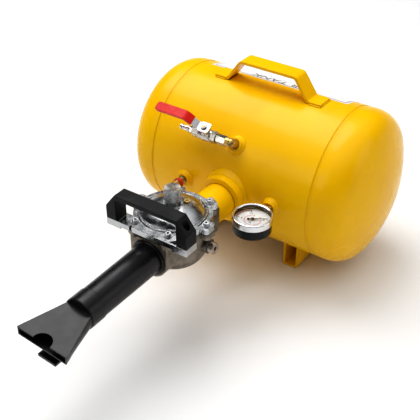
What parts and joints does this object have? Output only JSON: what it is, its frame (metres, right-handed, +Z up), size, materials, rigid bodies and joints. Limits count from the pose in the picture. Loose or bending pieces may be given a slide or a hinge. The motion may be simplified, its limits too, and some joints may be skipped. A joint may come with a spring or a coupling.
{
  "type": "bead seater air blaster tank",
  "caption": "Portable compressed-air tank with carry handle, push-button dump valve, grip, barrel and flat nozzle that blasts air between a tyre and its rim to seat the beads.",
  "frame": {"origin": "on the floor, below the middle of the whole object, midway between the back of the tank and the tip of the nozzle", "axes": "+Z up; -Y the way the barrel and nozzle point; +X along the tank's axis, towards the head beside the pressure gauge"},
  "size_m": [0.438, 0.658, 0.3094],
  "materials": {
    "yellow_paint": "gloss",
    "black_paint": "satin",
    "cast_aluminium": "cast, matt",
    "machined_aluminium": "turned and polished",
    "black_plastic": "matt",
    "rubber": "matt",
    "zinc_steel": "zinc plated",
    "spring_steel": "drawn wire",
    "nickel": "nickel plated",
    "brass": "turned",
    "red_vinyl": "gloss",
    "red_plastic": "satin",
    "ptfe": "matt",
    "label_film": "printed film, satin",
    "gauge_black": "gloss",
    "chrome": "polished",
    "dial_white": "matt",
    "glass": "clear"
  },
  "bodies": {
    "tank": {"air_plug": "chrome", "ball_seats": "ptfe", "ball_valve_body": "nickel", "ball_valve_end": "nickel", "barrel_ring": "black_paint", "barrel_tube": "black_paint", "bourdon_tube": "brass", "bung_welds": "yellow_paint", "button_guide": "machined_aluminium", "button_spring": "spring_steel", "carry_handle": "yellow_paint", "cover_screws": "zinc_steel", "diaphragm_rim": "rubber", "diaphragm_sheet": "rubber", "diaphragm_spring": "spring_steel", "fill_elbow": "brass", "foot_left": "yellow_paint", "foot_right": "yellow_paint", "gauge_bezel": "chrome", "gauge_case": "gauge_black", "gauge_dial": "dial_white", "gauge_lens": "glass", "gauge_movement": "brass", "gauge_stem": "brass", "gland_nut": "nickel", "grip_handle": "black_plastic", "grip_screws": "zinc_steel", "head_left": "yellow_paint", "head_right": "yellow_paint", "hex_adapter": "nickel", "label": "label_film", "nozzle": "black_paint", "outlet_bung": "yellow_paint", "outlet_pipe": "yellow_paint", "port_plug": "nickel", "relief_body": "brass", "relief_cap": "machined_aluminium", "relief_sleeve": "red_plastic", "relief_spring": "spring_steel", "rim_hook": "black_paint", "seam_welds": "yellow_paint", "small_bungs": "yellow_paint", "tank_shell": "yellow_paint", "valve_body": "cast_aluminium", "valve_cover": "machined_aluminium", "vent_plug": "brass"},
    "shutoff_lever": {"lever": "zinc_steel", "lever_sleeve": "red_vinyl", "lever_nut": "zinc_steel", "ball_stem": "nickel", "valve_ball": "nickel"},
    "push_button": {"button_cap": "machined_aluminium", "button_stem": "machined_aluminium", "button_seal": "rubber"},
    "main_diaphragm": {"seat_disc": "rubber", "diaphragm_plate": "zinc_steel", "diaphragm_bolt": "zinc_steel"},
    "relief_stem": {"relief_stem": "zinc_steel"},
    "pull_ring": {"relief_ring": "spring_steel"},
    "gauge_needle": {"gauge_needle": "gauge_black"}
  },
  "joints": [
    {"name": "shutoff_turn", "type": "hinge", "parent": "tank", "child": "shutoff_lever", "pos_m": [-0.038, 0.08533, 0.22856], "axis": [0, -0.5, 0.866], "range_deg": [0, 90]},
    {"name": "button_press", "type": "slide", "parent": "tank", "child": "push_button", "axis": [0, 0, -1], "range_m": [0, 0.0045], "stiffness_N_per_m": 1500, "springref_m": -0.003, "deforming": ["button_spring"]},
    {"name": "diaphragm_lift", "type": "slide", "parent": "tank", "child": "main_diaphragm", "axis": [0, 0, 1], "range_m": [0, 0.006], "stiffness_N_per_m": 2500, "springref_m": -0.005, "deforming": ["diaphragm_sheet", "diaphragm_spring"]},
    {"name": "relief_pull", "type": "slide", "parent": "tank", "child": "relief_stem", "axis": [0, -1, 0], "range_m": [0, 0.003], "stiffness_N_per_m": 2000, "springref_m": -0.003, "deforming": ["relief_spring"]},
    {"name": "ring_swing", "type": "hinge", "parent": "relief_stem", "child": "pull_ring", "pos_m": [-0.078, 0.038, 0.141], "axis": [1, 0, 0], "range_deg": [-90, 35]},
    {"name": "needle_turn", "type": "hinge", "parent": "tank", "child": "gauge_needle", "pos_m": [0.0815, 0.027, 0.147], "axis": [0, 0, -1], "range_deg": [0, 270], "stiffness_Nm_per_rad": 0.0002}
  ]
}
